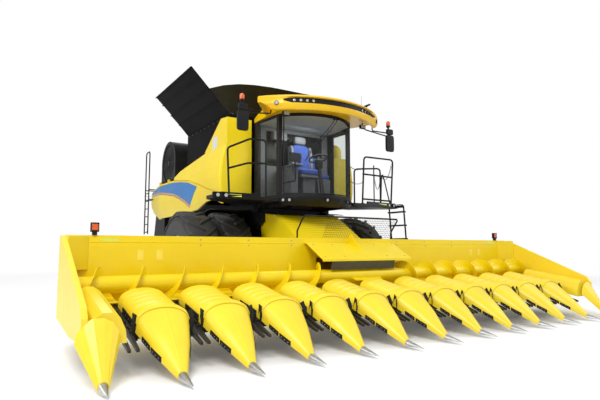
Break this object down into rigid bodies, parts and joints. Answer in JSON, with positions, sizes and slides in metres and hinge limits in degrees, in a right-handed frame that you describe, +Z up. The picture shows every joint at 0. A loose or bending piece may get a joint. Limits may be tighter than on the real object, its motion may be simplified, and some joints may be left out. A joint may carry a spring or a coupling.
{
  "type": "combine harvester",
  "caption": "Self-propelled combine harvester with dual front wheels, open grain tank and a wide corn header whose pointed snouts guide rows to an auger.",
  "frame": {"origin": "on the ground under the middle of the whole machine with its header", "axes": "+Z up, -Y the way the machine drives, +X the driver's left side"},
  "size_m": [9.5, 11.4, 4.8809],
  "materials": {
    "body_yellow": "gloss",
    "roof_yellow": "gloss",
    "frame_black": "satin",
    "black_plastic": "matt",
    "charcoal": "satin",
    "tyre": "matt",
    "rim_grey": "gloss",
    "steel": "brushed",
    "snout_yellow": "gloss",
    "glass": "clear",
    "amber": "clear",
    "lamp": "clear",
    "rubber": "matt",
    "seat_blue": "woven",
    "cast_grey": "rough",
    "canvas": "satin"
  },
  "bodies": {
    "combine": {"threshing_body": "body_yellow", "front_axle": "frame_black", "rear_axle": "frame_black", "grain_tank": "frame_black", "tank_extensions": "canvas", "shoulder_panels": "body_yellow", "shrouds": "body_yellow", "engine": "cast_grey", "engine_hood": "body_yellow", "screen_housing": "black_plastic", "straw_hood": "body_yellow", "cab_frame": "black_plastic", "cab_glass": "glass", "cab_roof": "roof_yellow", "roof_lamps": "lamp", "cab_seat": "seat_blue", "platforms": "frame_black", "mirrors": "black_plastic", "beacons": "amber", "rear_ladder": "frame_black"},
    "front_wheels_right": {"front_tyres_right": "tyre", "front_rims_right": "rim_grey"},
    "front_wheels_left": {"front_tyres_left": "tyre", "front_rims_left": "rim_grey"},
    "steer_right": {"knuckle_right": "frame_black"},
    "steer_left": {"knuckle_left": "frame_black"},
    "rear_wheel_right": {"rear_tyre_right": "tyre", "rear_rim_right": "rim_grey"},
    "rear_wheel_left": {"rear_tyre_left": "tyre", "rear_rim_left": "rim_grey"},
    "tie_rod": {"tie_rod": "steel"},
    "header": {"feeder_house": "body_yellow", "header_frame": "body_yellow", "end_dividers": "snout_yellow", "snout_cones": "snout_yellow", "snout_tips": "steel", "row_hoods": "snout_yellow", "row_units": "frame_black", "gathering_chains": "steel", "centre_hood": "body_yellow", "hood_flap": "rubber", "top_guard": "frame_black", "header_beacons": "amber"},
    "header_auger": {"header_auger": "frame_black"},
    "lift_barrels": {"lift_barrels": "frame_black"},
    "lift_rods": {"lift_rods": "steel"},
    "unloading_tube": {"unloading_tube": "body_yellow"},
    "cab_door": {"cab_door_frame": "black_plastic", "door_glass": "glass"},
    "tank_cover_right": {"tank_cover_right": "charcoal"},
    "tank_cover_left": {"tank_cover_left": "charcoal"},
    "side_cover_right": {"side_cover_right": "body_yellow"},
    "side_cover_left": {"side_cover_left": "body_yellow"},
    "spreader_right": {"spreader_right": "steel"},
    "spreader_left": {"spreader_left": "steel"},
    "rotary_screen": {"rotary_screen": "black_plastic"},
    "front_ladder": {"front_ladder": "frame_black"}
  },
  "joints": [
    {"name": "front_wheels_right_spin", "type": "hinge", "parent": "combine", "child": "front_wheels_right", "pos_m": [-1.35, -0.7, 1.025], "axis": [1, 0, 0], "continuous": true},
    {"name": "front_wheels_left_spin", "type": "hinge", "parent": "combine", "child": "front_wheels_left", "pos_m": [1.35, -0.7, 1.025], "axis": [1, 0, 0], "continuous": true},
    {"name": "steer_right", "type": "hinge", "parent": "combine", "child": "steer_right", "pos_m": [-1.18, 3.05, 0.8], "axis": [0, 0, 1], "range_deg": [-28, 28]},
    {"name": "steer_left", "type": "hinge", "parent": "combine", "child": "steer_left", "pos_m": [1.18, 3.05, 0.8], "axis": [0, 0, 1], "range_deg": [-28, 28]},
    {"name": "tie_rod_eye", "type": "hinge", "parent": "steer_right", "child": "tie_rod", "pos_m": [-1.18, 3.41, 0.7], "axis": [0, 0, 1], "range_deg": [-28, 28]},
    {"name": "rear_wheel_right_spin", "type": "hinge", "parent": "steer_right", "child": "rear_wheel_right", "pos_m": [-1.6, 3.05, 0.8], "axis": [1, 0, 0], "continuous": true},
    {"name": "rear_wheel_left_spin", "type": "hinge", "parent": "steer_left", "child": "rear_wheel_left", "pos_m": [1.6, 3.05, 0.8], "axis": [1, 0, 0], "continuous": true},
    {"name": "feeder_lift", "type": "hinge", "parent": "combine", "child": "header", "pos_m": [0, -1.4, 1.93], "axis": [-1, 0, 0], "range_deg": [0, 18]},
    {"name": "header_auger_spin", "type": "hinge", "parent": "header", "child": "header_auger", "pos_m": [0, -3.6, 0.855], "axis": [1, 0, 0], "continuous": true},
    {"name": "lift_barrel_swing", "type": "hinge", "parent": "combine", "child": "lift_barrels", "pos_m": [0, -0.9, 0.64], "axis": [-1, 0, 0], "range_deg": [0, 9.35]},
    {"name": "lift_rod_slide", "type": "slide", "parent": "lift_barrels", "child": "lift_rods", "axis": [0, -0.9892, 0.1463], "range_m": [0, 0.3592]},
    {"name": "unloader_swing", "type": "hinge", "parent": "combine", "child": "unloading_tube", "pos_m": [1.39, -0.93, 3.59], "axis": [0, 0, -1], "range_deg": [0, 95]},
    {"name": "cab_door_swing", "type": "hinge", "parent": "combine", "child": "cab_door", "pos_m": [0.966, -1.478, 3.1], "axis": [0, 0, 1], "range_deg": [0, 75]},
    {"name": "tank_cover_right_fold", "type": "hinge", "parent": "combine", "child": "tank_cover_right", "pos_m": [-1.496, 0, 4.069], "axis": [0, 1, 0], "range_deg": [0, 125]},
    {"name": "tank_cover_left_fold", "type": "hinge", "parent": "combine", "child": "tank_cover_left", "pos_m": [1.496, 0, 4.069], "axis": [0, -1, 0], "range_deg": [0, 125]},
    {"name": "side_cover_right_lift", "type": "hinge", "parent": "combine", "child": "side_cover_right", "pos_m": [-1.714, 0, 3.026], "axis": [0, 1, 0], "range_deg": [0, 75]},
    {"name": "side_cover_left_lift", "type": "hinge", "parent": "combine", "child": "side_cover_left", "pos_m": [1.714, 0, 3.026], "axis": [0, -1, 0], "range_deg": [0, 75]},
    {"name": "spreader_right_spin", "type": "hinge", "parent": "combine", "child": "spreader_right", "pos_m": [-0.48, 4.88, 1.1], "axis": [0, 0, 1], "continuous": true},
    {"name": "spreader_left_spin", "type": "hinge", "parent": "combine", "child": "spreader_left", "pos_m": [0.48, 4.88, 1.1], "axis": [0, 0, 1], "continuous": true},
    {"name": "rotary_screen_spin", "type": "hinge", "parent": "combine", "child": "rotary_screen", "pos_m": [-1.56, 2.25, 3.52], "axis": [1, 0, 0], "continuous": true},
    {"name": "front_ladder_swing", "type": "hinge", "parent": "combine", "child": "front_ladder", "pos_m": [2.235, -2.34, 2.245], "axis": [0, 0, -1], "range_deg": [0, 80]}
  ],
  "couplings": [
    {"joint": "steer_left", "follows": "steer_right", "ratio": 1},
    {"joint": "tie_rod_eye", "follows": "steer_right", "ratio": -1},
    {"joint": "lift_barrel_swing", "follows": "feeder_lift", "ratio": 0.51908},
    {"joint": "lift_rod_slide", "follows": "feeder_lift", "m_per_rad": 1.1419},
    {"joint": "tank_cover_left_fold", "follows": "tank_cover_right_fold", "ratio": 1}
  ]
}
